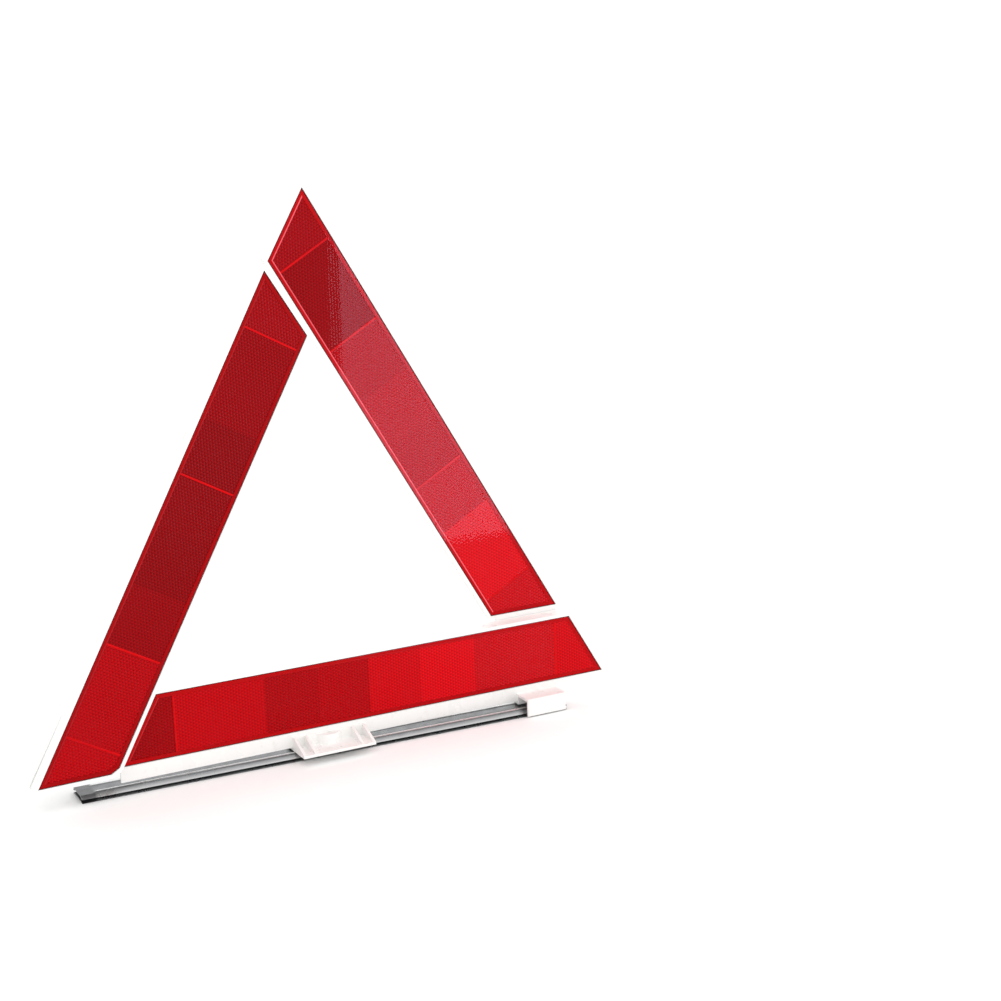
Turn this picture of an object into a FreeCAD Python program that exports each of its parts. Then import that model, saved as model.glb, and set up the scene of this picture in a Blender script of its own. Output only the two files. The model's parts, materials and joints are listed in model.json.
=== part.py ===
"""Folding warning triangle: three reflector arms, two crossing steel legs.

World frame: X to the right along the base, Y towards the back, Z up, in millimetres.
The origin lies on the ground, below the middle of the base arm's front face. The legs turn
about a rivet a little to the left of it.

The three arms share one layout. In an arm's own frame x runs along its outer edge from the
corner that its reflector covers, y runs inwards across the arm, and z runs from front to back.
"""
import FreeCAD, Part
import os
import Sketcher

DIMENSIONS = [
    # the triangle
    ("lens_side", 430),          # side of the triangle that the red reflectors make
    ("lens_width", 46.5),        # width of one reflector
    ("lens_gap", 5.8),           # distance between neighbouring reflectors
    ("lens_height", 18.6),       # height of the base reflector's lower edge above the ground
    ("lens_thick", 2.2),
    ("lens_fit", 0.1),           # play around a reflector in its seat
    ("lens_bevel", 4.0),         # cut corner at the foot of the left reflector
    ("rim", 2.4),                # white border around a reflector
    ("lip", 0.4),                # how far a reflector sits below the border
    ("ledge", 1.5),              # shelf that a reflector is welded to
    ("wall", 1.6),
    ("corner_round", 2.0),
    ("lean", 1.25),              # degrees that each arm leans towards the other
    ("left_extra", 0.6),         # degrees that the left arm opens beyond 60
    # depths, front to back
    ("base_depth", 12.4),
    ("base_cell", 6.0),          # front of the floor behind the base reflector
    ("base_floor", 7.6),         # back of that floor
    ("end_floor", 1.6),          # thickness of the plate behind the left arm
    ("left_depth", 8.4),
    ("left_cell", 4.4),
    ("left_floor", 5.8),
    ("right_depth", 7.0),
    ("right_cell", 3.6),
    ("right_floor", 5.0),
    ("arm_gap", 1.0),            # clear distance between an arm and the base
    # ribs in the open backs
    ("rib_thick", 1.2),
    ("rib_first", 72),
    ("rib_span", 240),
    ("rib_count", 7),
    ("rib_drop", 0.8),           # ribs end this far inside the back
    # hinges of the arms
    ("pin_radius", 2.5),
    ("pin_play", 0.4),
    ("boss_radius", 7.0),
    ("left_boss_end", 8.0),      # back end of the left hinge boss, from the base's front
    ("head_radius", 5.2),
    ("head_thick", 1.4),
    ("washer_radius", 6.0),
    ("washer_thick", 1.0),
    ("washer_gap", 0.3),
    ("tab_thick", 4.0),
    ("tab_inset", 2.0),
    # snap at the apex
    ("snap_inset", 3.9),         # from the gap between the upright arms to the snap
    ("snap_radius", 3.4),
    ("snap_recess", 3.5),
    ("snap_thick", 2.0),
    ("stud_radius", 1.9),
    ("stud_neck", 1.3),
    ("socket_radius", 2.3),
    # skirt, leg bracket and leg clip
    ("skirt_low", 7.9),
    ("skirt_thick", 2.0),
    ("skirt_left", 156),
    ("skirt_right", 176),
    ("bracket_width", 54),
    ("bracket_front", 20.8),
    ("bracket_back", 13),
    ("plate_thick", 2.0),
    ("upright_top", 15.4),
    ("upright_thick", 1.6),
    ("gusset_thick", 2.0),
    ("gusset_gap", 8.4),         # between the gussets of a pair
    ("hub_radius", 10),
    ("hub_top", 14.6),
    ("post_radius", 3.4),
    ("post_depth", 8.2),
    ("post_spread", 20),
    ("clip_left", 143),
    ("clip_right", 174.5),
    ("clip_front", 17.5),
    ("clip_wall", 2.0),
    ("clip_top", 13.6),
    ("clip_low", 0.5),
    ("clip_screw", 159),
    # screws
    ("screw_radius", 1.5),
    ("screw_head", 2.8),
    ("screw_head_thick", 1.3),
    ("screw_reach", 6.0),
    # legs
    ("pivot_shift", 6),          # the leg pivot is this far left of the base's middle
    ("pivot_depth", 3.1),        # and this far behind the base's front face
    ("leg_left", 178),           # reach of the stowed legs to the left of their pivot
    ("leg_right", 182.5),
    ("leg_width", 23),
    ("leg_crown", 12.0),         # flat strip along the middle of a leg
    ("leg_sheet", 1.0),
    ("low_leg_top", 2.2),
    ("high_leg_foot", 2.5),
    ("high_leg_top", 5.6),
    ("stow_angle", 2.0),         # degrees between the stowed legs and the base
    ("leg_pin", 3.0),
    ("leg_play", 0.1),
    ("leg_head", 4.8),
    ("leg_clear", 0.1),          # between the stacked pieces on the leg rivet
    ("ground_clear", 0.2),       # under the leg rivet's lower head
]

doc = FreeCAD.newDocument("warning_triangle")
sheet = doc.addObject("Spreadsheet::Sheet", "Dims")
for row, (alias, value) in enumerate(DIMENSIONS, start=1):
    sheet.set("A%d" % row, str(value))
    sheet.setAlias("A%d" % row, alias)
doc.recompute()

SUBPARTS = []


def size(expression):
    """The number that an expression of sheet cells gives."""
    value = sheet.evalExpression(expression)
    return float(getattr(value, "Value", value))


def cell(alias):
    return "Dims." + alias


# ---------------------------------------------------------------- sketches and features

def new_body(name):
    body = doc.addObject("PartDesign::Body", name)
    body.Label = name
    SUBPARTS.append(body)
    return body


def new_sketch(body, name, offset="0", role="XY_Plane"):
    """A sketch parallel to one of the body's origin planes, offset along that plane's normal."""
    plane = next(item for item in body.Origin.OriginFeatures if item.Role == role)
    sketch = body.newObject("Sketcher::SketchObject", name)
    sketch.AttachmentSupport = (plane, [""])
    sketch.MapMode = "FlatFace"
    sketch.setExpression("AttachmentOffset.Base.z", offset)
    return sketch


def bind(sketch, kind, geometry, point, expression):
    """Tie a point's distance from the sketch origin, along one direction, to an expression."""
    number = sketch.addConstraint(
        Sketcher.Constraint(kind, -1, 1, geometry, point, size(expression)))
    sketch.setExpression("Constraints[%d]" % number, expression)


def polygon(sketch, corners):
    """A closed outline through corners given as pairs of expressions."""
    points = [FreeCAD.Vector(size(x), size(y), 0) for x, y in corners]
    first = sketch.GeometryCount
    count = len(points)
    for index in range(count):
        sketch.addGeometry(Part.LineSegment(points[index], points[(index + 1) % count]), False)
    for index in range(count):
        following = first + (index + 1) % count
        sketch.addConstraint(Sketcher.Constraint("Coincident", first + index, 2, following, 1))
    for index, (x, y) in enumerate(corners):
        bind(sketch, "DistanceX", first + index, 1, x)
        bind(sketch, "DistanceY", first + index, 1, y)


def rectangle(sketch, left, right, low, high):
    polygon(sketch, [(left, low), (right, low), (right, high), (left, high)])


def circle(sketch, x, y, radius):
    centre = FreeCAD.Vector(size(x), size(y), 0)
    shape = Part.Circle(centre, FreeCAD.Vector(0, 0, 1), size(radius))
    number = sketch.addGeometry(shape, False)
    bind(sketch, "DistanceX", number, 3, x)
    bind(sketch, "DistanceY", number, 3, y)
    rule = sketch.addConstraint(Sketcher.Constraint("Radius", number, size(radius)))
    sketch.setExpression("Constraints[%d]" % rule, radius)


def pad(body, sketch, length):
    """Material from the sketch towards its normal."""
    feature = body.newObject("PartDesign::Pad", sketch.Name + "_pad")
    feature.Profile = sketch
    feature.setExpression("Length", length)
    return feature


def pocket(body, sketch, length, forward=False):
    """A cut from the sketch away from its normal, or towards it if forward."""
    before = solid_volume(body)
    feature = body.newObject("PartDesign::Pocket", sketch.Name + "_pocket")
    feature.Profile = sketch
    feature.Reversed = forward
    feature.setExpression("Length", length)
    doc.recompute()
    if not solid_volume(body) < before - 1e-3:
        raise RuntimeError(sketch.Name + " removes nothing")
    return feature


def solid_volume(body):
    doc.recompute()
    return body.Shape.Volume


def revolve(body, sketch):
    """A full turn of the sketch about its own vertical axis."""
    feature = body.newObject("PartDesign::Revolution", sketch.Name + "_turn")
    feature.Profile = sketch
    feature.ReferenceAxis = (sketch, ["V_Axis"])
    feature.Angle = 360
    return feature


def round_edges(body, radius, wanted):
    """Round those edges of the body for which wanted(edge) holds."""
    doc.recompute()
    base = body.Tip
    names = ["Edge%d" % (index + 1) for index, edge in enumerate(base.Shape.Edges) if wanted(edge)]
    if not names:
        raise RuntimeError(body.Name + " has no edge to round")
    feature = body.newObject("PartDesign::Fillet", body.Name + "_rounds")
    feature.Base = (base, names)
    feature.setExpression("Radius", radius)
    return feature


def runs_along(edge, axis, length):
    """Whether an edge is straight, parallel to an axis and of the given length."""
    if len(edge.Vertexes) != 2 or edge.Curve.TypeId != "Part::GeomLine":
        return False
    span = edge.Vertexes[1].Point - edge.Vertexes[0].Point
    return abs(abs(span.dot(axis)) - length) < 1e-3 and abs(span.Length - length) < 1e-3


# ---------------------------------------------------------------- outlines in an arm's frame

LENS_LENGTH = "(Dims.lens_side - (Dims.lens_width + Dims.lens_gap) / sin(60))"
HINGE_ACROSS = "(Dims.lens_width / 2)"
NEAR_HINGE = "(Dims.lens_width * cos(30))"
FAR_HINGE = "(Dims.lens_side - Dims.lens_width * cos(30))"


def taper(across, inset):
    """Distance along the arm from its corner to a 60 degree end, inset from that end."""
    return "((%s) / tan(60) + (%s) / sin(60))" % (across, inset)


def trapezoid(length, inset):
    """Corners of an arm outline with 60 degree ends, inset all round."""
    low = "(%s)" % inset
    high = "(Dims.lens_width - (%s))" % inset
    return [
        (taper(low, inset), low),
        ("%s - %s" % (length, taper(low, inset)), low),
        ("%s - %s" % (length, taper(high, inset)), high),
        (taper(high, inset), high),
    ]


def bevelled(corners, bevel):
    """The same outline with its last corner cut off."""
    x, y = corners[-1]
    along = "%s + %s" % (x, bevel)
    down_x = "%s - %s * cos(60)" % (x, bevel)
    down_y = "%s - %s * sin(60)" % (y, bevel)
    return corners[:-1] + [(along, y), (down_x, down_y)]


def slanted_strip(start, stop, low, high):
    """A parallelogram across an arm, parallel to the arm's far end."""
    return [
        ("%s - (%s) / tan(60)" % (start, low), low),
        ("%s - (%s) / tan(60)" % (stop, low), low),
        ("%s - (%s) / tan(60)" % (stop, high), high),
        ("%s - (%s) / tan(60)" % (start, high), high),
    ]


def upright_edges(depth):
    """Picks an arm's outer corner edges, which run from front to back."""
    axis = FreeCAD.Vector(0, 0, 1)
    return lambda edge: runs_along(edge, axis, size(depth))


# ---------------------------------------------------------------- placements

def matrix_placement(along, across, origin):
    """Puts an arm's frame into the world: its z axis always points to the back."""
    back = along.cross(across)
    matrix = FreeCAD.Matrix(
        along.x, across.x, back.x, origin.x,
        along.y, across.y, back.y, origin.y,
        along.z, across.z, back.z, origin.z,
        0, 0, 0, 1)
    return FreeCAD.Placement(matrix)


HALF = size("Dims.lens_side / 2")
COS60 = size("cos(60)")
SIN60 = size("sin(60)")
LENS_Z = size("Dims.lens_height")
HINGE_Z = LENS_Z + size(HINGE_ACROSS)
HINGE_X = HALF - size(NEAR_HINGE)
LEFT_FRONT = -size("Dims.left_depth + Dims.arm_gap")
RIGHT_FRONT = size("Dims.base_depth + Dims.arm_gap")


def leaning(flat, pivot, angle):
    turn = FreeCAD.Rotation(FreeCAD.Vector(1, 0, 0), angle)
    return FreeCAD.Placement(FreeCAD.Vector(0, 0, 0), turn, pivot).multiply(flat)


def base_place():
    return matrix_placement(
        FreeCAD.Vector(-1, 0, 0), FreeCAD.Vector(0, 0, 1), FreeCAD.Vector(HALF, 0, LENS_Z))


def left_place():
    flat = matrix_placement(
        FreeCAD.Vector(COS60, 0, SIN60), FreeCAD.Vector(SIN60, 0, -COS60),
        FreeCAD.Vector(-HALF, LEFT_FRONT, LENS_Z))
    pivot = FreeCAD.Vector(-HINGE_X, 0, HINGE_Z)
    opened = FreeCAD.Placement(
        FreeCAD.Vector(0, 0, 0),
        FreeCAD.Rotation(FreeCAD.Vector(0, 1, 0), -size("Dims.left_extra")), pivot)
    return leaning(opened.multiply(flat), pivot, -size("Dims.lean"))


def right_place():
    apex_z = LENS_Z + size("Dims.lens_side * sin(60)")
    flat = matrix_placement(
        FreeCAD.Vector(COS60, 0, -SIN60), FreeCAD.Vector(-SIN60, 0, -COS60),
        FreeCAD.Vector(0, RIGHT_FRONT, apex_z))
    return leaning(flat, FreeCAD.Vector(HINGE_X, 0, HINGE_Z), size("Dims.lean"))


def bracket_place():
    return FreeCAD.Placement(
        FreeCAD.Vector(-size("Dims.pivot_shift"), 0, 0), FreeCAD.Rotation())


def leg_place():
    turn = FreeCAD.Rotation(FreeCAD.Vector(0, 0, 1), -size("Dims.stow_angle"))
    depth = FreeCAD.Vector(0, size("Dims.pivot_depth"), 0)
    return bracket_place().multiply(FreeCAD.Placement(depth, turn))


# ---------------------------------------------------------------- arm frames and reflectors

SEAT = "(Dims.lip + Dims.lens_thick)"


def hollow_front(body, cell_depth, seat_corners, cell_corners):
    """The reflector's seat and the closed air space behind the reflector."""
    seat = new_sketch(body, body.Name + "_seat", SEAT)
    polygon(seat, seat_corners)
    pocket(body, seat, SEAT)
    air = new_sketch(body, body.Name + "_air", cell_depth)
    polygon(air, cell_corners)
    pocket(body, air, cell_depth)


def add_ribs(body, floor, depth):
    """Cross ribs in the open back, evenly spaced."""
    low = "(Dims.wall / 2 - Dims.rim)"
    high = "(Dims.lens_width + Dims.rim - Dims.wall / 2)"
    rib = new_sketch(body, body.Name + "_rib", floor)
    rectangle(rib, cell("rib_first"), "Dims.rib_first + Dims.rib_thick", low, high)
    bar = pad(body, rib, "%s - %s - Dims.rib_drop" % (depth, floor))
    doc.recompute()
    pattern = body.newObject("PartDesign::LinearPattern", body.Name + "_ribs")
    pattern.Originals = [bar]
    pattern.Direction = (rib, ["H_Axis"])
    pattern.setExpression("Length", cell("rib_span"))
    pattern.setExpression("Occurrences", cell("rib_count"))
    body.Tip = pattern


def arm_blank(name, depth, length, bevel=None):
    """The solid outline of an arm, rounded at its corners."""
    body = new_body(name)
    outline = new_sketch(body, name + "_outline")
    corners = trapezoid(length, "-Dims.rim")
    polygon(outline, bevelled(corners, bevel) if bevel else corners)
    pad(body, outline, depth)
    round_edges(body, cell("corner_round"), upright_edges(depth))
    return body


def bored(body, name, x, y, radius, top, length):
    hole = new_sketch(body, name, top)
    circle(hole, x, y, radius)
    pocket(body, hole, length)


def boss(body, name, x, y, radius, start, length):
    disc = new_sketch(body, name, start)
    circle(disc, x, y, radius)
    pad(body, disc, length)


SCREW_PLACES = ("Dims.post_spread - Dims.pivot_shift", "-Dims.post_spread - Dims.pivot_shift",
                "Dims.clip_screw")


def make_base_frame():
    depth = cell("base_depth")
    floor = cell("base_floor")
    body = arm_blank("base_frame", depth, cell("lens_side"))
    hollow_front(body, cell("base_cell"), trapezoid(LENS_LENGTH, "0"),
                 trapezoid(LENS_LENGTH, cell("ledge")))
    back = new_sketch(body, "base_back", depth)
    polygon(back, trapezoid(cell("lens_side"), "Dims.wall - Dims.rim"))
    pocket(body, back, "Dims.base_depth - Dims.base_floor")
    end = new_sketch(body, "base_end", floor)
    start = "(%s + (Dims.rim + Dims.wall) / sin(60))" % LENS_LENGTH
    stop = "(Dims.lens_side + (Dims.rim - Dims.wall) / sin(60))"
    polygon(end, slanted_strip(start, stop, "(Dims.wall - Dims.rim)",
                               "(Dims.lens_width + Dims.rim - Dims.wall)"))
    pocket(body, end, "Dims.base_floor - Dims.end_floor")
    add_ribs(body, floor, depth)
    boss(body, "left_boss", FAR_HINGE, HINGE_ACROSS, cell("boss_radius"), "0",
         cell("left_boss_end"))
    boss(body, "right_boss", NEAR_HINGE, HINGE_ACROSS, cell("boss_radius"), cell("base_cell"),
         "Dims.base_depth - Dims.base_cell")
    skirt = new_sketch(body, "skirt")
    rectangle(skirt, "Dims.lens_side / 2 - Dims.skirt_right",
              "Dims.lens_side / 2 + Dims.skirt_left",
              "Dims.skirt_low - Dims.lens_height", "-Dims.rim / 2")
    pad(body, skirt, cell("skirt_thick"))
    posts = new_sketch(body, "posts", "Dims.rim / 2", "XZ_Plane")
    for x in SCREW_PLACES:
        circle(posts, "Dims.lens_side / 2 - (%s)" % x, cell("post_depth"), cell("post_radius"))
    pad(body, posts, "Dims.lens_height - Dims.skirt_low - Dims.rim / 2")
    threads = new_sketch(body, "threads", "Dims.lens_height - Dims.skirt_low - Dims.screw_reach",
                         "XZ_Plane")
    for x in SCREW_PLACES:
        circle(threads, "Dims.lens_side / 2 - (%s)" % x, cell("post_depth"),
               cell("screw_radius"))
    pocket(body, threads, cell("screw_reach"), forward=True)
    relief = new_sketch(body, "rivet_relief", cell("skirt_thick"))
    rectangle(relief, "Dims.lens_side / 2 + Dims.pivot_shift - Dims.leg_head - 1",
              "Dims.lens_side / 2 + Dims.pivot_shift + Dims.leg_head + 1",
              "Dims.skirt_low - Dims.lens_height - 1",
              "Dims.skirt_low - Dims.lens_height + Dims.head_thick + 1")
    pocket(body, relief, cell("skirt_thick"))
    bored(body, "left_bore", FAR_HINGE, HINGE_ACROSS, "Dims.pin_radius + Dims.pin_play", depth,
          depth)
    bored(body, "right_bore", NEAR_HINGE, HINGE_ACROSS, "Dims.pin_radius + Dims.pin_play", depth,
          depth)
    body.Placement = base_place()


def make_left_arm_frame():
    depth = cell("left_depth")
    floor = cell("left_floor")
    body = arm_blank("left_arm_frame", depth, LENS_LENGTH, cell("lens_bevel"))
    hollow_front(body, cell("left_cell"),
                 bevelled(trapezoid(LENS_LENGTH, "0"), cell("lens_bevel")),
                 bevelled(trapezoid(LENS_LENGTH, cell("ledge")), cell("lens_bevel")))
    back = new_sketch(body, "left_back", depth)
    polygon(back, bevelled(trapezoid(LENS_LENGTH, "Dims.wall - Dims.rim"), cell("lens_bevel")))
    pocket(body, back, "Dims.left_depth - Dims.left_floor")
    add_ribs(body, floor, depth)
    boss(body, "left_arm_boss", NEAR_HINGE, HINGE_ACROSS, cell("boss_radius"), floor,
         "Dims.left_depth - Dims.left_floor")
    snap_x, snap_y = snap_in_left_arm()
    boss(body, "socket_boss", snap_x, snap_y, "Dims.socket_radius + Dims.wall", floor,
         "Dims.left_depth - Dims.left_floor")
    bored(body, "left_arm_bore", NEAR_HINGE, HINGE_ACROSS, cell("pin_radius"), depth,
          "Dims.left_depth - Dims.left_cell")
    bored(body, "socket_bore", snap_x, snap_y, cell("socket_radius"), depth,
          "Dims.left_depth - Dims.left_floor")
    body.Placement = left_place()


def snap_in_right_arm():
    """The snap's place along and across the right arm, behind the left arm's upper end."""
    return ("((Dims.lens_width + Dims.lens_gap) / tan(60) + Dims.lens_width / 2 / sin(60))",
            "(Dims.lens_width + Dims.lens_gap + Dims.snap_inset)")


def snap_in_left_arm():
    """The same place seen from the left arm, which has turned a little past 60 degrees."""
    along = "(%s - Dims.lens_width / 2 / tan(60) - Dims.snap_inset * sin(60) - %s)" % (
        LENS_LENGTH, NEAR_HINGE)
    across = "(-Dims.snap_inset * cos(60))"
    extra = "Dims.left_extra"
    return ("(%s + %s * cos(%s) - %s * sin(%s))" % (NEAR_HINGE, along, extra, across, extra),
            "(%s + %s * sin(%s) + %s * cos(%s))" % (HINGE_ACROSS, along, extra, across, extra))


def make_right_arm_frame():
    depth = cell("right_depth")
    floor = cell("right_floor")
    body = arm_blank("right_arm_frame", depth, LENS_LENGTH)
    hollow_front(body, cell("right_cell"), trapezoid(LENS_LENGTH, "0"),
                 trapezoid(LENS_LENGTH, cell("ledge")))
    back = new_sketch(body, "right_back", depth)
    polygon(back, trapezoid(LENS_LENGTH, "Dims.wall - Dims.rim"))
    pocket(body, back, "Dims.right_depth - Dims.right_floor")
    add_ribs(body, floor, depth)
    hinge_tab = new_sketch(body, "hinge_tab")
    polygon(hinge_tab, [
        ("%s - Dims.tab_inset / tan(60) + Dims.rim / 2" % LENS_LENGTH, "Dims.tab_inset"),
        (FAR_HINGE, "Dims.tab_inset"),
        (FAR_HINGE, "Dims.lens_width - Dims.tab_inset"),
        ("%s - (Dims.lens_width - Dims.tab_inset) / tan(60) + Dims.rim / 2" % LENS_LENGTH,
         "Dims.lens_width - Dims.tab_inset"),
    ])
    pad(body, hinge_tab, cell("tab_thick"))
    boss(body, "tab_end", FAR_HINGE, HINGE_ACROSS, "Dims.lens_width / 2 - Dims.tab_inset", "0",
         cell("tab_thick"))
    snap_x, snap_y = snap_in_right_arm()
    snap_tab = new_sketch(body, "snap_tab", cell("snap_recess"))
    rectangle(snap_tab, "%s - Dims.snap_radius" % snap_x, "%s + Dims.snap_radius" % snap_x,
              "Dims.lens_width + Dims.rim / 2", snap_y)
    pad(body, snap_tab, cell("snap_thick"))
    boss(body, "snap_end", snap_x, snap_y, cell("snap_radius"), cell("snap_recess"),
         cell("snap_thick"))
    bored(body, "right_arm_bore", FAR_HINGE, HINGE_ACROSS, cell("pin_radius"),
          cell("tab_thick"), cell("tab_thick"))
    bored(body, "snap_bore", snap_x, snap_y, cell("stud_neck"),
          "Dims.snap_recess + Dims.snap_thick", cell("snap_thick"))
    body.Placement = right_place()


def make_reflector(name, place, bevel=None):
    """A red prism reflector that lies in its frame's seat."""
    body = new_body(name)
    outline = new_sketch(body, name + "_outline", cell("lip"))
    corners = trapezoid(LENS_LENGTH, cell("lens_fit"))
    polygon(outline, bevelled(corners, bevel) if bevel else corners)
    pad(body, outline, cell("lens_thick"))
    body.Placement = place


# ---------------------------------------------------------------- arm hinges and apex snap

def turned(name, profile, x, y, place):
    """A round piece from a half profile of (radius, height) pairs, at x, y of an arm's frame."""
    body = new_body(name)
    sketch = new_sketch(body, name + "_profile", "0", "XZ_Plane")
    polygon(sketch, profile)
    revolve(body, sketch)
    spot = FreeCAD.Placement(FreeCAD.Vector(size(x), size(y), 0), FreeCAD.Rotation())
    body.Placement = place.multiply(spot)
    return body


def rivet_profile(pin, head, start, stop, thick):
    """A pin between two heads; start and stop are the faces that the heads bear on."""
    return [
        ("0", "%s - %s" % (start, thick)),
        ("%s * 0.8" % head, "%s - %s" % (start, thick)),
        (head, "%s - %s * 0.5" % (start, thick)),
        (head, start),
        (pin, start),
        (pin, stop),
        (head, stop),
        (head, "%s + %s * 0.5" % (stop, thick)),
        ("%s * 0.8" % head, "%s + %s" % (stop, thick)),
        ("0", "%s + %s" % (stop, thick)),
    ]


def ring_profile(inner, outer, start, thick):
    return [
        (inner, start),
        (outer, start),
        (outer, "%s + %s" % (start, thick)),
        (inner, "%s + %s" % (start, thick)),
    ]


def make_hinge(side, place, hinge_x, bears, pin_stop, washer_start):
    """An arm's rivet, riveted to the arm, and the washer at its other head."""
    turned(side + "_hinge_rivet",
           rivet_profile(cell("pin_radius"), cell("head_radius"), bears, pin_stop,
                         cell("head_thick")),
           hinge_x, HINGE_ACROSS, place)
    turned(side + "_hinge_washer",
           ring_profile(cell("pin_radius"), cell("washer_radius"), washer_start,
                        cell("washer_thick")),
           hinge_x, HINGE_ACROSS, place)


def make_hinges():
    left_washer = "(Dims.left_depth + Dims.arm_gap + Dims.left_boss_end + Dims.washer_gap)"
    make_hinge("left", left_place(), NEAR_HINGE, cell("left_cell"),
               "(%s + Dims.washer_thick)" % left_washer, left_washer)
    right_washer = ("(Dims.base_cell - Dims.washer_gap - Dims.washer_thick"
                    " - Dims.base_depth - Dims.arm_gap)")
    make_hinge("right", right_place(), FAR_HINGE, right_washer, cell("tab_thick"), right_washer)


def make_apex_stud():
    """The mushroom stud that snaps into the left arm when the arms are squeezed together."""
    snap_x, snap_y = snap_in_right_arm()
    turned("apex_stud", [
        ("0", "0"),
        ("Dims.stud_radius * 0.6", "0"),
        (cell("stud_radius"), "Dims.snap_recess * 0.4"),
        (cell("stud_neck"), "Dims.snap_recess * 0.8"),
        (cell("stud_neck"), "Dims.snap_recess + Dims.snap_thick"),
        (cell("stud_radius"), "Dims.snap_recess + Dims.snap_thick"),
        (cell("stud_radius"), "Dims.snap_recess + Dims.snap_thick + 1"),
        ("0", "Dims.snap_recess + Dims.snap_thick + 1"),
    ], snap_x, snap_y, right_place())


# ---------------------------------------------------------------- leg bracket and leg clip

def make_leg_bracket():
    """The moulding under the base that carries the leg rivet."""
    body = new_body("leg_bracket")
    plate_low = "(Dims.skirt_low - Dims.plate_thick)"
    half = "(Dims.bracket_width / 2)"
    plate = new_sketch(body, "bracket_plate", plate_low)
    rectangle(plate, "-" + half, half, "-Dims.bracket_front", cell("bracket_back"))
    pad(body, plate, cell("plate_thick"))
    upright = new_sketch(body, "bracket_upright", cell("skirt_low"))
    rectangle(upright, "-" + half, half, "-Dims.upright_thick", "0")
    pad(body, upright, "Dims.upright_top - Dims.skirt_low")
    hub = new_sketch(body, "bracket_hub", cell("skirt_low"))
    half_disc(hub, cell("pivot_depth"), cell("hub_radius"), "0")
    pad(body, hub, "Dims.hub_top - Dims.skirt_low")
    # gussets stand on the plate in two pairs; YZ sketches are offset along +X
    inner = "(Dims.bracket_width / 2 - Dims.gusset_thick - Dims.gusset_gap)"
    outer = "(Dims.bracket_width / 2 - Dims.gusset_thick)"
    starts = [outer, inner, "-%s - Dims.gusset_thick" % outer, "-%s - Dims.gusset_thick" % inner]
    for number, start in enumerate(starts, start=1):
        web = new_sketch(body, "gusset%d" % number, start, "YZ_Plane")
        polygon(web, [
            ("-Dims.upright_thick / 2", "Dims.skirt_low - Dims.plate_thick / 2"),
            ("-Dims.upright_thick / 2", cell("upright_top")),
            ("-Dims.upright_thick - 1.5", cell("upright_top")),
            ("-Dims.bracket_front", cell("skirt_low")),
            ("-Dims.bracket_front", "Dims.skirt_low - Dims.plate_thick / 2"),
        ])
        pad(body, web, cell("gusset_thick"))
    bored(body, "bracket_bore", "0", cell("pivot_depth"), cell("leg_pin"), cell("skirt_low"),
          cell("plate_thick"))
    head_room = new_sketch(body, "head_room", cell("hub_top"))
    circle(head_room, "0", cell("pivot_depth"), "Dims.leg_head + Dims.leg_clear")
    pocket(body, head_room, "Dims.hub_top - Dims.skirt_low")
    for number, side in enumerate(("", "-"), start=1):
        spot = side + "Dims.post_spread"
        screw_hole(body, "bracket_screw%d" % number, spot)
    body.Placement = bracket_place()


def screw_hole(body, name, x):
    """A clearance hole through the lower plate with a flat sink for the screw's head."""
    bored(body, name + "_hole", x, cell("post_depth"), cell("screw_radius"), cell("skirt_low"),
          cell("plate_thick"))
    bored(body, name + "_sink", x, cell("post_depth"), cell("screw_head"),
          "Dims.skirt_low - Dims.plate_thick + Dims.screw_head_thick", cell("screw_head_thick"))


def half_disc(sketch, centre_y, radius, chord_y):
    """The part of a disc in front of a chord, as an arc and a line."""
    rise = size(chord_y) - size(centre_y)
    reach = (size(radius) ** 2 - rise ** 2) ** 0.5
    left = FreeCAD.Vector(-reach, size(chord_y), 0)
    right = FreeCAD.Vector(reach, size(chord_y), 0)
    front = FreeCAD.Vector(0, size(centre_y) - size(radius), 0)
    arc = sketch.addGeometry(Part.Arc(left, front, right), False)
    line = sketch.addGeometry(Part.LineSegment(right, left), False)
    sketch.addConstraint(Sketcher.Constraint("Coincident", arc, 1, line, 2))
    sketch.addConstraint(Sketcher.Constraint("Coincident", arc, 2, line, 1))
    bind(sketch, "DistanceX", arc, 3, "0")
    bind(sketch, "DistanceY", arc, 3, centre_y)
    bind(sketch, "DistanceY", line, 1, chord_y)
    sketch.addConstraint(Sketcher.Constraint("Horizontal", line))
    rule = sketch.addConstraint(Sketcher.Constraint("Radius", arc, size(radius)))
    sketch.setExpression("Constraints[%d]" % rule, radius)


def make_leg_retainer():
    """The clip at the right that holds the stowed legs' ends. Its frame is the world's."""
    body = new_body("leg_retainer")
    plate_low = "(Dims.skirt_low - Dims.plate_thick)"
    front = new_sketch(body, "clip_front", cell("clip_low"))
    rectangle(front, cell("clip_left"), cell("clip_right"), "-Dims.clip_front",
              "Dims.clip_wall - Dims.clip_front")
    pad(body, front, "Dims.clip_top - Dims.clip_low")
    top = new_sketch(body, "clip_roof", "Dims.clip_top - Dims.clip_wall")
    rectangle(top, cell("clip_left"), cell("clip_right"), "-Dims.clip_front", "0")
    pad(body, top, cell("clip_wall"))
    back = new_sketch(body, "clip_back", plate_low)
    rectangle(back, cell("clip_left"), cell("clip_right"), "-Dims.clip_wall", "0")
    pad(body, back, "Dims.clip_top - %s" % plate_low)
    foot = new_sketch(body, "clip_foot", plate_low)
    rectangle(foot, cell("clip_left"), cell("clip_right"), "-Dims.clip_wall",
              "Dims.post_depth + Dims.post_radius")
    pad(body, foot, cell("plate_thick"))
    screw_hole(body, "clip_screw_seat", cell("clip_screw"))
    front_y = -size("Dims.clip_front")
    round_edges(body, "Dims.clip_wall * 0.9",
                lambda edge: all(abs(v.Point.y - front_y) < 1e-3 for v in edge.Vertexes))


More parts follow.
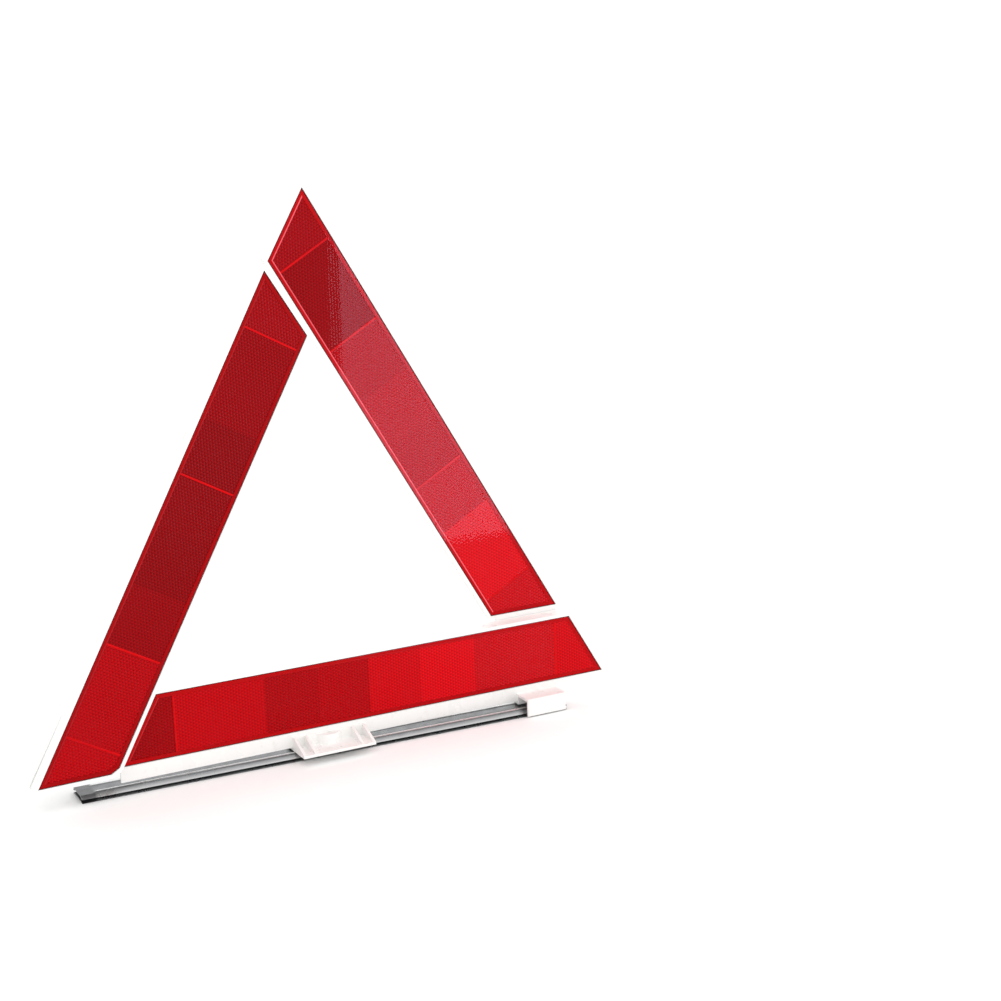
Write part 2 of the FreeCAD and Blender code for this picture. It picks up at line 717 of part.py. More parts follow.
def screw_profile():
    """A pan screw from its head upwards, with its head flush with the plate's lower face."""
    low = "(Dims.skirt_low - Dims.plate_thick)"
    return [
        ("0", low),
        (cell("screw_head"), low),
        (cell("screw_head"), "%s + Dims.screw_head_thick" % low),
        (cell("screw_radius"), "%s + Dims.screw_head_thick" % low),
        (cell("screw_radius"), "Dims.skirt_low + Dims.screw_reach - 1"),
        ("0", "Dims.skirt_low + Dims.screw_reach"),
    ]


def make_screws():
    turned("retainer_screw", screw_profile(), cell("clip_screw"), cell("post_depth"),
           FreeCAD.Placement())
    pair = []
    for side, x in (("left", "-Dims.post_spread"), ("right", "Dims.post_spread")):
        turned("bracket_screw_" + side, screw_profile(), x, cell("post_depth"),
               bracket_place())
        pair.append(SUBPARTS.pop())
    group = doc.addObject("Part::Compound", "bracket_screws")
    group.Label = "bracket_screws"
    group.Links = pair
    SUBPARTS.append(group)


# ---------------------------------------------------------------- legs

def leg_section(foot, top):
    """A sheet with a flat crown and sloping sides, as a closed outline across the leg."""
    half = "(Dims.leg_width / 2)"
    crown = "(Dims.leg_crown / 2)"
    foot_width = "(1.4 * Dims.leg_sheet)"
    inner_crown = "(%s - 0.4 * Dims.leg_sheet)" % crown
    ceiling = "%s - Dims.leg_sheet" % top
    outer = [("-" + half, foot), ("-" + crown, top), (crown, top), (half, foot)]
    inner = [("%s - %s" % (half, foot_width), foot), (inner_crown, ceiling),
             ("-" + inner_crown, ceiling), ("%s - %s" % (foot_width, half), foot)]
    return outer + inner


def make_leg(name, foot, top):
    """A pressed steel leg that turns about a point near its middle."""
    body = new_body(name)
    section = new_sketch(body, name + "_section", "-Dims.leg_left", "YZ_Plane")
    polygon(section, leg_section(foot, top))
    pad(body, section, "Dims.leg_left + Dims.leg_right")
    bored(body, name + "_bore", "0", "0", "Dims.leg_pin + Dims.leg_play", "%s + 1" % top,
          "%s + 1" % top)
    body.Placement = leg_place()


def make_legs():
    make_leg("lower_leg", "0", cell("low_leg_top"))
    make_leg("upper_leg", cell("high_leg_foot"), cell("high_leg_top"))


def make_leg_pivot():
    """The upright rivet with the spacer between the legs and the washer above them."""
    across = cell("pivot_depth")
    upright = bracket_place()
    low_sheet = "(Dims.low_leg_top - Dims.leg_sheet - Dims.leg_clear)"
    turned("leg_rivet",
           rivet_profile(cell("leg_pin"), cell("leg_head"), low_sheet, cell("skirt_low"),
                         "(%s - Dims.ground_clear)" % low_sheet),
           "0", across, upright)
    spacer_low = "(Dims.low_leg_top + Dims.leg_clear)"
    high_sheet = "(Dims.high_leg_top - Dims.leg_sheet - Dims.leg_clear)"
    turned("leg_spacer",
           ring_profile(cell("leg_pin"), cell("leg_head"), spacer_low,
                        "(%s - %s)" % (high_sheet, spacer_low)),
           "0", across, upright)
    washer_low = "(Dims.high_leg_top + Dims.leg_clear)"
    plate_low = "(Dims.skirt_low - Dims.plate_thick)"
    turned("leg_washer",
           ring_profile(cell("leg_pin"), cell("head_radius"), washer_low,
                        "(%s - %s)" % (plate_low, washer_low)),
           "0", across, upright)


# ---------------------------------------------------------------- build, check and write

make_base_frame()
make_reflector("base_reflector", base_place())
make_left_arm_frame()
make_reflector("left_arm_reflector", left_place(), cell("lens_bevel"))
make_right_arm_frame()
make_reflector("right_arm_reflector", right_place())
make_hinges()
make_apex_stud()
make_leg_bracket()
make_leg_retainer()
make_screws()
make_legs()
make_leg_pivot()
doc.recompute()

for item in doc.Objects:
    if "Invalid" in item.State or "Error" in item.State:
        raise RuntimeError(item.Name + " did not compute")
for subpart in SUBPARTS:
    if subpart.Shape.isNull() or not subpart.Shape.isValid():
        raise RuntimeError(subpart.Label + " has no valid shape")

os.makedirs("parts", exist_ok=True)
for subpart in SUBPARTS:
    subpart.Shape.exportStep("parts/" + subpart.Label + ".step")
    print(subpart.Label, round(subpart.Shape.Volume, 1), len(subpart.Shape.Solids))
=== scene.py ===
"""Looks of the folding warning triangle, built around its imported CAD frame. Metres, Z up."""

import json
import math
from collections import namedtuple

import bmesh
import bpy
from mathutils import Matrix, Vector


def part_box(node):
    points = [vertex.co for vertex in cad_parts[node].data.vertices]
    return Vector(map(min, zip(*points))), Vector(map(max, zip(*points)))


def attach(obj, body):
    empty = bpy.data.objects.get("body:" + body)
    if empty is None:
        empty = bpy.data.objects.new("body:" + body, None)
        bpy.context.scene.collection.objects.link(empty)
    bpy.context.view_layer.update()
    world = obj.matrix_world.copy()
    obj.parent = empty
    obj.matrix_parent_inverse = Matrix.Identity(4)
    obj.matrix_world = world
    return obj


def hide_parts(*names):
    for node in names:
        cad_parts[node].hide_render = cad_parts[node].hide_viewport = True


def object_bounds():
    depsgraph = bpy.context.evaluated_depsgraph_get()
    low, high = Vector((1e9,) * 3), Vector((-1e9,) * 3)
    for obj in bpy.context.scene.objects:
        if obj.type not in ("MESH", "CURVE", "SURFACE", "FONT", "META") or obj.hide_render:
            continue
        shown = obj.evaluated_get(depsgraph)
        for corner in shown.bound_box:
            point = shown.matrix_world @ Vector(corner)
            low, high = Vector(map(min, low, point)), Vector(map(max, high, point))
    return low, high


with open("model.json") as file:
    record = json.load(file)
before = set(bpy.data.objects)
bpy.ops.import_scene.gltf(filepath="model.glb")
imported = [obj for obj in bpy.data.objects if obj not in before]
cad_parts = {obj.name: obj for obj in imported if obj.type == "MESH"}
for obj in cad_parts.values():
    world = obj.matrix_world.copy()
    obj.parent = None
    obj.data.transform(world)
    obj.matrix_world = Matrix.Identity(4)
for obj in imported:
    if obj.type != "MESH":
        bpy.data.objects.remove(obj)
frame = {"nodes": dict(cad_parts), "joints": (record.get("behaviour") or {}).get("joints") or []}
CAD_LOW, CAD_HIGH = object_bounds()
MM = 0.001


# ---------------------------------------------------------------- camera, stage and lights

def make_camera():
    """A long lens from the front left and a little above, set for a 1001 x 1001 picture."""
    pitch, yaw, roll = 0.2429, 0.4729, -0.0365
    forward = Vector((math.sin(yaw) * math.cos(pitch), math.cos(yaw) * math.cos(pitch),
                      -math.sin(pitch)))
    level_right = Vector((math.cos(yaw), -math.sin(yaw), 0))
    level_up = level_right.cross(forward)
    right = math.cos(roll) * level_right + math.sin(roll) * level_up
    up = math.cos(roll) * level_up - math.sin(roll) * level_right
    data = bpy.data.cameras.new("camera")
    data.sensor_width = 36
    data.lens = 77.6
    camera = bpy.data.objects.new("camera", data)
    turn = Matrix((right, up, -forward)).transposed().to_4x4()
    camera.matrix_world = Matrix.Translation((-0.5418, -1.3238, 0.5282)) @ turn
    bpy.context.scene.collection.objects.link(camera)
    bpy.context.scene.camera = camera


def make_light(name, target, direction, distance, size, power, tint=(1, 1, 1)):
    """A rectangular soft box that faces the target."""
    data = bpy.data.lights.new(name, "AREA")
    data.shape = "RECTANGLE"
    data.size, data.size_y = size
    data.energy = power
    data.color = tint
    light = bpy.data.objects.new(name, data)
    away = Vector(direction).normalized()
    light.location = Vector(target) + away * distance
    light.rotation_mode = "QUATERNION"
    light.rotation_quaternion = away.to_track_quat("Z", "Y")
    bpy.context.scene.collection.objects.link(light)
    return light


def make_floor():
    """A wide pale floor, a hair below the legs that stand on it."""
    mesh = bpy.data.meshes.new("floor")
    reach, gap = 40.0, 0.0002
    corners = [(-reach, -reach, 0), (reach, -reach, 0), (reach, reach, 0), (-reach, reach, 0)]
    mesh.from_pydata(corners, [], [(0, 1, 2, 3)])
    floor = bpy.data.objects.new("floor", mesh)
    floor.location.z = -gap
    bpy.context.scene.collection.objects.link(floor)
    nodes = Nodes("floor_paper")
    nodes.surface(roughness=0.9, specular=0.1)
    grain = nodes.noise(scale=90, detail=2)
    nodes.mix_into("Base Color", grain, (0.95, 0.95, 0.945), (0.97, 0.97, 0.965))
    floor.data.materials.append(nodes.material)


def make_sky():
    """A pale sky that is darker at the left than at the right."""
    left, right = 0.72, 1.28
    world = bpy.data.worlds.new("studio")
    world.use_nodes = True
    tree = world.node_tree
    background = tree.nodes["Background"]
    background.inputs["Strength"].default_value = 1.16
    ways = tree.nodes.new("ShaderNodeTexCoord")
    split = tree.nodes.new("ShaderNodeSeparateXYZ")
    sides = tree.nodes.new("ShaderNodeMapRange")
    for socket, value in (("From Min", -1), ("From Max", 1), ("To Min", left), ("To Max", right)):
        sides.inputs[socket].default_value = value
    tree.links.new(ways.outputs["Generated"], split.inputs["Vector"])
    tree.links.new(split.outputs["X"], sides.inputs["Value"])
    tree.links.new(sides.outputs["Result"], background.inputs["Color"])
    bpy.context.scene.world = world
    bpy.context.scene.view_settings.view_transform = "Standard"


def make_key():
    """The main light, from high at the front left."""
    make_light("key", target=(CAD_LOW + CAD_HIGH) / 2, direction=(-0.45, -0.6, 1.0),
               distance=2.2, size=(1.4, 1.4), power=6)


def make_card(mirrors):
    """A low pink card close before the right arm, which only the given pieces mirror."""
    card = make_light("card", target=(0.21, 0, 0.21), direction=(0, -1, 0), distance=0.2,
                      size=(0.20, 0.30), power=3.3, tint=(1.0, 0.62, 0.82))
    card.visible_diffuse = False
    card.visible_camera = False
    seen_by = bpy.data.collections.new("seen_by_card")
    for piece in mirrors:
        seen_by.objects.link(piece)
    card.light_linking.receiver_collection = seen_by


# ---------------------------------------------------------------- node materials

class Nodes:
    """A small helper around one node material."""

    def __init__(self, name):
        self.material = bpy.data.materials.new(name)
        self.material.use_nodes = True
        self.tree = self.material.node_tree
        self.shader = self.tree.nodes["Principled BSDF"]

    def surface(self, roughness, specular=0.5, metallic=0.0):
        self.set({"Roughness": roughness, "Specular IOR Level": specular, "Metallic": metallic,
                  "IOR": 1.5})

    def set(self, values):
        """Constant values of the shader's own sockets."""
        for socket, value in values.items():
            self.shader.inputs[socket].default_value = value

    def new(self, kind, **inputs):
        node = self.tree.nodes.new(kind)
        for name, value in inputs.items():
            node.inputs[name.replace("_", " ")].default_value = value
        return node

    def link(self, source, target):
        self.tree.links.new(source, target)

    def coordinates(self, stretch=(1, 1, 1)):
        """The object's own coordinates, each multiplied by its stretch."""
        source = self.new("ShaderNodeTexCoord").outputs["Object"]
        mapping = self.new("ShaderNodeMapping")
        mapping.inputs["Scale"].default_value = stretch
        self.link(source, mapping.inputs["Vector"])
        return mapping.outputs["Vector"]

    def noise(self, scale, detail=3, stretch=(1, 1, 1)):
        node = self.new("ShaderNodeTexNoise", Scale=scale, Detail=detail)
        self.link(self.coordinates(stretch), node.inputs["Vector"])
        return node.outputs["Fac"]

    def cells(self, scale):
        node = self.new("ShaderNodeTexVoronoi", Scale=scale)
        self.link(self.coordinates(), node.inputs["Vector"])
        return node.outputs["Color"]

    def remap(self, value, low, high, to_low, to_high):
        node = self.new("ShaderNodeMapRange")
        for name, number in (("From Min", low), ("From Max", high),
                             ("To Min", to_low), ("To Max", to_high)):
            node.inputs[name].default_value = number
        self.link(value, node.inputs["Value"])
        return node.outputs["Result"]

    def mix(self, factor, first, second):
        """Mix of two colours; each is a plain colour or a socket."""
        node = self.tree.nodes.new("ShaderNodeMix")
        node.data_type = "RGBA"
        self.link(factor, node.inputs[0])
        for socket, colour in ((node.inputs[6], first), (node.inputs[7], second)):
            if isinstance(colour, tuple):
                socket.default_value = (*colour, 1)
            else:
                self.link(colour, socket)
        return node.outputs[2]

    def mix_into(self, name, factor, first, second):
        """The same mix, led to one of the shader's sockets."""
        self.link(self.mix(factor, first, second), self.shader.inputs[name])

    def roughness(self, value, low, high):
        """Roughness that follows a noise, most of which lies between 0.3 and 0.7."""
        self.link(self.remap(value, 0.3, 0.7, low, high), self.shader.inputs["Roughness"])

    def bump(self, height, strength, distance):
        node = self.new("ShaderNodeBump", Strength=strength, Distance=distance)
        self.link(height, node.inputs["Height"])
        self.link(node.outputs["Normal"], self.shader.inputs["Normal"])

    def attribute(self, name):
        """A value that the mesh holds at each vertex."""
        node = self.tree.nodes.new("ShaderNodeAttribute")
        node.attribute_name = name
        return node.outputs["Fac"]


def white_plastic():
    """Moulded white plastic: faint flow marks, fine orange peel and specks of dust."""
    nodes = Nodes("white_moulding")
    nodes.surface(roughness=0.3, specular=0.5)
    flow = nodes.noise(scale=14, detail=3)
    tone = nodes.mix(flow, (0.91, 0.905, 0.885), (0.945, 0.94, 0.92))
    dirt = nodes.remap(nodes.noise(scale=120, detail=6), 0.62, 0.8, 0.0, 0.5)
    nodes.mix_into("Base Color", dirt, tone, (0.74, 0.73, 0.70))
    nodes.roughness(nodes.noise(scale=60, detail=4), 0.22, 0.4)
    nodes.bump(nodes.noise(scale=900, detail=2), 0.08, 0.0002)
    return nodes.material


def coat_on_face(nodes, ripple):
    """Gives the coat the flat face's normal, with a small share of the mesh's own added."""
    flat = nodes.new("ShaderNodeAttribute")
    flat.attribute_name = "face"
    turn = nodes.new("ShaderNodeVectorTransform")
    turn.vector_type = "NORMAL"
    turn.convert_from = "OBJECT"
    turn.convert_to = "WORLD"
    nodes.link(flat.outputs["Vector"], turn.inputs["Vector"])
    total = nodes.new("ShaderNodeVectorMath")
    total.operation = "MULTIPLY_ADD"
    nodes.link(nodes.new("ShaderNodeNewGeometry").outputs["Normal"], total.inputs[0])
    total.inputs[1].default_value = (ripple, ripple, ripple)
    nodes.link(turn.outputs["Vector"], total.inputs[2])
    unit = nodes.new("ShaderNodeVectorMath")
    unit.operation = "NORMALIZE"
    nodes.link(total.outputs["Vector"], unit.inputs[0])
    nodes.link(unit.outputs["Vector"], nodes.shader.inputs["Coat Normal"])


def red_plastic(name, rough, specular, coated):
    """Clear red plastic. Three vertex values colour it: tone is painted light and shade, how much
    light the part returns; depth is how deep in the prisms a point lies and darkens the valleys as
    painted shade; glint is a painted pink highlight. A coat stands for the glossy face before the
    prisms."""
    nodes = Nodes(name)
    nodes.surface(roughness=rough, specular=specular)
    # Tone scales every red as painted light and shade; depth darkens the prisms' valleys as
    # painted shade.
    tone = nodes.attribute("tone")
    shallow = nodes.mix(tone, (0.0, 0.0, 0.0), (1.0, 0.003, 0.006))
    deep = nodes.mix(tone, (0.0, 0.0, 0.0), (0.40, 0.0, 0.005))
    worn = nodes.mix(tone, (0.0, 0.0, 0.0), (0.72, 0.004, 0.01))
    clean = nodes.mix(nodes.attribute("depth"), shallow, deep)
    patch = nodes.remap(nodes.noise(scale=30, detail=3), 0.4, 0.8, 0.0, 0.5)
    red = nodes.mix(patch, clean, worn)
    # The glint value mixes in a painted pink highlight.
    nodes.mix_into("Base Color", nodes.attribute("glint"), red, (0.95, 0.13, 0.16))
    nodes.roughness(nodes.noise(scale=400, detail=4), rough * 0.8, rough * 1.3)
    if coated:
        nodes.set({"Coat Weight": 1.0, "Coat Roughness": 0.04, "Coat IOR": 1.12})
        coat_on_face(nodes, 0.04)
    return nodes.material


def steel(name, light, dark, rough, spangle):
    """Zinc coated metal with crystal spangle and drawn lines. The vertex values polish and dull
    lighten it with a painted highlight and darken it with painted shade; a mesh without them has
    neither."""
    nodes = Nodes(name)
    nodes.surface(roughness=rough, metallic=1.0)
    drawn = nodes.noise(scale=600, detail=3, stretch=(0.03, 1, 1))
    lines = nodes.mix(drawn, dark, light)
    crystals = nodes.remap(nodes.cells(scale=spangle), 0.2, 0.9, 0.0, 0.6)
    sheet = nodes.mix(crystals, lines, dark)
    # Painted highlight towards near white, then painted shade towards near black.
    highlighted = nodes.mix(nodes.attribute("painted_highlight"), sheet, (0.95, 0.95, 0.95))
    nodes.mix_into("Base Color", nodes.attribute("painted_shade"), highlighted, (0.10, 0.10, 0.105))
    nodes.roughness(nodes.noise(scale=150, detail=3), rough * 0.8, rough * 1.25)
    nodes.bump(drawn, 0.15, 0.0001)
    return nodes.material


# ---------------------------------------------------------------- flat outlines

def inset(outline, distance):
    """A convex outline, counterclockwise, moved inwards by a distance on every side."""
    count = len(outline)
    lines = []
    for index in range(count):
        start, stop = outline[index], outline[(index + 1) % count]
        along = (stop - start).normalized()
        inward = Vector((-along.y, along.x))
        lines.append((start + inward * distance, along))
    corners = []
    for index in range(count):
        (first, along), (second, onward) = lines[index - 1], lines[index]
        cross = along.x * onward.y - along.y * onward.x
        gap = second - first
        step = (gap.x * onward.y - gap.y * onward.x) / cross
        corners.append(first + along * step)
    return corners


def between(outline, low, high):
    """The part of a convex outline whose first coordinate lies between low and high."""
    for sign, limit in ((1, low), (-1, -high)):
        kept = []
        for index, point in enumerate(outline):
            other = outline[(index + 1) % len(outline)]
            here, there = sign * point.x - limit, sign * other.x - limit
            if here >= 0:
                kept.append(point)
            if here * there < 0:
                kept.append(point.lerp(other, here / (here - there)))
        outline = kept
    return outline


# ---------------------------------------------------------------- red reflectors

THICK = 2.2 * MM            # from the CAD face to the back
LIP = 0.5 * MM              # the sides start this far behind the face
EDGE_WIDTH = 0.6 * MM       # of the sloping outer edge
RIDGE_FOOT = 2.5 * MM       # the ridge round the prisms, from the outline inwards
RIDGE_RISE = 2.9 * MM
RIDGE_END = 3.2 * MM
BED_INSET = 3.3 * MM        # the bed that the prisms stand on
SHELF = 0.15 * MM           # depths behind the CAD face; the ridge stands before it
CREST = -0.12 * MM
BED = 0.6 * MM
PRISM_TOP = 0.02 * MM
SEAM_TOP = -0.05 * MM
PRISM_INSET = 3.22 * MM     # of the area that prisms and seams fill
PRISM_PITCH = 1.33 * MM     # side of the triangles that the prisms' corners make
SEAM_HALF = 0.65 * MM       # half the width of a seam
EDGE_PAINTED_SHADE = 0.08            # painted light and shade: how brightly the dark edge and the bright seams return light
SEAM_PAINTED_LIGHT = 0.64
EDGE, SMOOTH, PRISM = range(3)      # places in a reflector's list of materials
TILE_ENDS = (-146, -80, -37, 3, 41, 81, 146)      # from the middle of a reflector, in mm

# Border and tile values are painted light and shade, how brightly the border and each tile return
# light, set per arm; glint is a pink highlight painted on the ridge's left-facing sides, seams
# which tile ends have a smooth seam, and prism_heights how high each tile's prisms are in mm
Look = namedtuple("Look", "border_tone glint seams tile_tones prism_heights")
LOOKS = {
    "base": Look(0.46, 0.2, (-146, 146),
                 (0.80, 0.74, 0.88, 0.77, 0.58, 0.53, 0.66, 0.45),
                 (0.2, 0.5, 0.2, 0.2, 0.5, 0.5, 0.2, 0.5)),
    "left_arm": Look(0.36, 0.1, (-146, -80, 41, 146),
                     (0.62, 0.58, 0.39, 0.34, 0.35, 0.34, 0.39, 0.44),
                     (0.5, 0.5, 0.5, 0.5, 0.5, 0.5, 0.5, 0.4)),
    "right_arm": Look(0.46, 1.0, (-146, -80, 41, 146),
                      (0.44, 0.38, 0.55, 0.60, 0.58, 0.66, 0.88, 0.73),
                      (0.4, 0.5, 0.5, 0.5, 0.5, 0.5, 0.3, 0.5)),
}


class Reflector:
    """Builds one reflector in its own frame: u along its outer edge, v inwards, depth back."""

    def __init__(self, node, look):
        self.look = look
        self.find_outline(frame["nodes"][node].data)
        self.mesh = bmesh.new()
        self.depth = self.mesh.verts.layers.float.new("depth")
        self.tone = self.mesh.verts.layers.float.new("tone")
        self.glint = self.mesh.verts.layers.float.new("glint")
        self.face = self.mesh.verts.layers.float_vector.new("face")

    def find_outline(self, mesh):
        """Finds the front face of the CAD plate, its outline and the directions along it."""
        front = max((p for p in mesh.polygons if p.normal.y < -0.5), key=lambda p: p.area)
        normal = front.normal.copy()
        level = max(v.co.dot(normal) for v in mesh.vertices)
        found = {tuple(round(c, 6) for c in v.co) for v in mesh.vertices
                 if v.co.dot(normal) > level - 1e-5}
        points = [Vector(p) for p in sorted(found)]
        middle = sum(points, Vector()) / len(points)
        pairs = [(p, q) for p in points for q in points if self.is_side((p, q), points, normal)]
        ends = max(pairs, key=lambda pair: (pair[0] - pair[1]).length)
        run = (ends[1] - ends[0]).normalized()
        inwards = middle - ends[0]
        across = inwards - run * inwards.dot(run)
        self.back = -normal
        self.across = across.normalized()
        self.along = self.across.cross(self.back)
        self.origin = min(ends, key=lambda p: p.dot(self.along))
        flat = [Vector(((p - self.origin).dot(self.along), (p - self.origin).dot(self.across)))
                for p in points]
        centre = sum(flat, Vector((0, 0))) / len(flat)
        self.outline = sorted(flat, key=lambda p: math.atan2(p.y - centre.y, p.x - centre.x))
        self.length = max(p.x for p in flat)

    @staticmethod
    def is_side(pair, points, normal):
        """Whether every point lies on one side of the line through the pair."""
        run = pair[1] - pair[0]
        if run.length < 1e-6:
            return False
        sides = [run.cross(p - pair[0]).dot(normal) for p in points]
        tiny = 1e-7
        return all(s > -tiny for s in sides) or all(s < tiny for s in sides)

    def place(self, u, v, depth):
        return self.origin + self.along * u + self.across * v + self.back * depth

    def vertex(self, point, depth, dark=0.0, tone=None):
        made = self.mesh.verts.new(self.place(point.x, point.y, depth))
        made[self.depth] = dark
        made[self.tone] = self.look.border_tone if tone is None else tone
        made[self.face] = -self.back
        return made

    def band(self, outer, outer_depth, inner, inner_depth, kind, inner_dark=0.0, tone=None):
        """A closed band of faces between two outlines with as many corners."""
        first = [self.vertex(p, outer_depth, 0.0, tone) for p in outer]
        second = [self.vertex(p, inner_depth, inner_dark, tone) for p in inner]
        for index in range(len(first)):
            after = (index + 1) % len(first)
            face = self.mesh.faces.new(
                (first[index], second[index], second[after], first[after]))
            face.material_index = kind

    def cap(self, outline, depth, kind, facing_back=False, tone=None):
        """One flat face over an outline."""
        verts = [self.vertex(p, depth, 0.0, tone) for p in outline]
        if not facing_back:
            verts.reverse()
        self.mesh.faces.new(verts).material_index = kind

    def bar(self, outline):
        """A raised seam: its top and the walls down from it."""
        # The seam's bright value is painted light.
        self.cap(outline, SEAM_TOP, SMOOTH, tone=SEAM_PAINTED_LIGHT)
        self.band(outline, BED, outline, SEAM_TOP, SMOOTH, tone=SEAM_PAINTED_LIGHT)

    def ridge(self, foot, rise, end):
        """The ridge round the prisms, with a pink highlight painted on the sides that face left.
        """
        for index, point in enumerate(rise):
            after = (index + 1) % len(rise)
            run = (rise[after] - point).normalized()
            facing = self.along * run.y - self.across * run.x
            # Painted pink highlight, strongest where the ridge faces left.
            painted_shine = max(0.0, -facing.x) * self.look.glint
            for outer, inner, low, high in ((foot, rise, SHELF, CREST),
                                            (rise, end, CREST, CREST)):
                corners = [self.vertex(outer[index], low), self.vertex(inner[index], high),
                           self.vertex(inner[after], high), self.vertex(outer[after], low)]
                for vert in corners:
                    vert[self.glint] = painted_shine
                self.mesh.faces.new(corners).material_index = SMOOTH

    def prisms(self, outline, height, tone):
        """A relief of prisms over an outline, cut off exactly at its sides."""
        patch = bmesh.new()
        layer = patch.verts.layers.float.new("depth")
        prism_grid(patch, layer, outline, height)
        for index, point in enumerate(outline):
            other = outline[(index + 1) % len(outline)]
            run = other - point
            geometry = patch.verts[:] + patch.edges[:] + patch.faces[:]
            bmesh.ops.bisect_plane(patch, geom=geometry, dist=1e-7, clear_outer=True,
                                   plane_co=(point.x, point.y, 0), plane_no=(run.y, -run.x, 0))
        copied = {}
        for vert in patch.verts:
            copied[vert] = self.vertex(vert.co, vert.co.z, vert[layer], tone)
        for face in patch.faces:
            made = self.mesh.faces.new([copied[v] for v in face.verts])
            made.material_index = PRISM
        patch.free()

    def make_rim(self):
        """The back, the sides, the smooth border and the ridge round the prisms' bed."""
        edge, foot, rise, end, bed = (
            inset(self.outline, distance)
            for distance in (EDGE_WIDTH, RIDGE_FOOT, RIDGE_RISE, RIDGE_END, BED_INSET))
        # The back, sides and sloping edge take the dark edge value, which is painted shade.
        self.cap(self.outline, THICK, EDGE, facing_back=True, tone=EDGE_PAINTED_SHADE)
        self.band(self.outline, THICK, self.outline, LIP, EDGE, tone=EDGE_PAINTED_SHADE)
        self.band(self.outline, LIP, edge, SHELF, EDGE, tone=EDGE_PAINTED_SHADE)
        self.band(edge, SHELF, foot, SHELF, SMOOTH)
        self.ridge(foot, rise, end)
        # The slope down to the bed darkens towards it as painted shade.
        self.band(end, CREST, bed, BED, SMOOTH, inner_dark=1.0)
        self.cap(bed, BED, SMOOTH)

    def make_tiles(self):
        """The prism tiles, with a smooth seam at some of their ends."""
        bed = inset(self.outline, BED_INSET)
        area = inset(self.outline, PRISM_INSET)
        middle = self.length / 2
        ends = [min(p.x for p in bed) - MM]
        ends += [middle + end * MM for end in TILE_ENDS]
        ends.append(max(p.x for p in bed) + MM)
        gaps = [SEAM_HALF if end in self.look.seams else 0 for end in TILE_ENDS]
        gaps = [0] + gaps + [0]
        # Each tile's value is painted light and shade.
        for number, tone in enumerate(self.look.tile_tones):
            tile = between(area, ends[number] + gaps[number],
                           ends[number + 1] - gaps[number + 1])
            self.prisms(tile, self.look.prism_heights[number] * MM, tone)
        for seam in self.look.seams:
            place = middle + seam * MM
            self.bar(between(area, place - SEAM_HALF, place + SEAM_HALF))

    def build(self, name, materials):
        """The finished piece, not yet on a body."""
        self.make_rim()
        self.make_tiles()
        return make_piece(name, self.mesh, materials)


def prism_grid(patch, layer, outline, height):
    """Triangles over more than the outline, whose corners lie at three levels in turn."""
    low_u = min(p.x for p in outline) - PRISM_PITCH
    high_u = max(p.x for p in outline) + PRISM_PITCH
    high_v = max(p.y for p in outline) + PRISM_PITCH
    row_step = PRISM_PITCH * math.sqrt(3) / 2
    rows = int(high_v / row_step) + 1
    grid = {}
    for row in range(rows + 1):
        shift = row * PRISM_PITCH / 2
        first = math.floor((low_u - shift) / PRISM_PITCH)
        last = math.ceil((high_u - shift) / PRISM_PITCH)
        for column in range(first, last + 1):
            level = (column - row) % 3 / 2
            vert = patch.verts.new((column * PRISM_PITCH + shift, row * row_step,
                                    PRISM_TOP + height * level))
            # The level is also the depth value, which darkens the valleys as painted shade.
            vert[layer] = level
            grid[row, column] = vert
    for (row, column), vert in grid.items():
        right = grid.get((row, column + 1))
        above = grid.get((row + 1, column))
        left_above = grid.get((row + 1, column - 1))
        if right and above:
            patch.faces.new((vert, above, right))
        if above and left_above:
            patch.faces.new((vert, left_above, above))


def make_piece(name, form, materials):
    """An object in the scene from a bmesh, which is used up."""
    data = bpy.data.meshes.new(name)
    form.to_mesh(data)
    form.free()
    for material in materials:
        data.materials.append(material)
    piece = bpy.data.objects.new(name, data)
    bpy.context.scene.collection.objects.link(piece)
    return piece


def make_reflectors():
    """The three reflectors, each on its body in place of its CAD plate."""
    materials = [
        red_plastic("lens_edge", rough=0.15, specular=0.2, coated=False),
        red_plastic("lens_smooth", rough=0.3, specular=0.02, coated=True),
        red_plastic("lens_prisms", rough=0.35, specular=0.02, coated=True),
    ]
    pieces = []
    for body, look in LOOKS.items():
        node = body + "_reflector"
        piece = Reflector(node, look).build(node + "_prisms", materials)
        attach(piece, body)
        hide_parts(node)
        pieces.append(piece)
    return pieces


# ---------------------------------------------------------------- legs

SHEET = 1.0 * MM            # thickness of the steel
UNDER_INSET = 1.3 * MM      # how far the under side's edges lie inside the upper side's
FLANGE = 2.6 * MM           # width of the sloping sides
BEAD_HEIGHT = 0.7 * MM
BEAD_HALF = 1.5 * MM        # half the width of a bead
BEAD_INSET = 2.4 * MM       # from the flange to the middle of a bead
BEAD_START = 9 * MM         # from the end of the leg to the tip of a bead
BEAD_FADE = 2.4 * MM        # over which a bead grows to its full height
PAINTED_SHADE_LINE = 1.7 * MM        # from the middle of a bead to the line of painted shade along its foot
PAINTED_SHADE_HALF = 0.6 * MM
END_RINGS = (0, 0.4, 8.6, 9, 9.5, 10, 10.6, 11.4)     # places of rings from each end, in mm
MIDDLE_PARTS = 16           # stretches along the leg
ACROSS_PARTS = 72           # stretches across the leg
SLOPE_PAINTED_HIGHLIGHT = 0.45          # painted highlight at the foot of the sloping sides
LINE_PAINTED_SHADE = 0.6         # painted shade of the lines along the beads
END_PAINTED_SHADE = 0.75         # painted shade of the flat ends beyond the beads
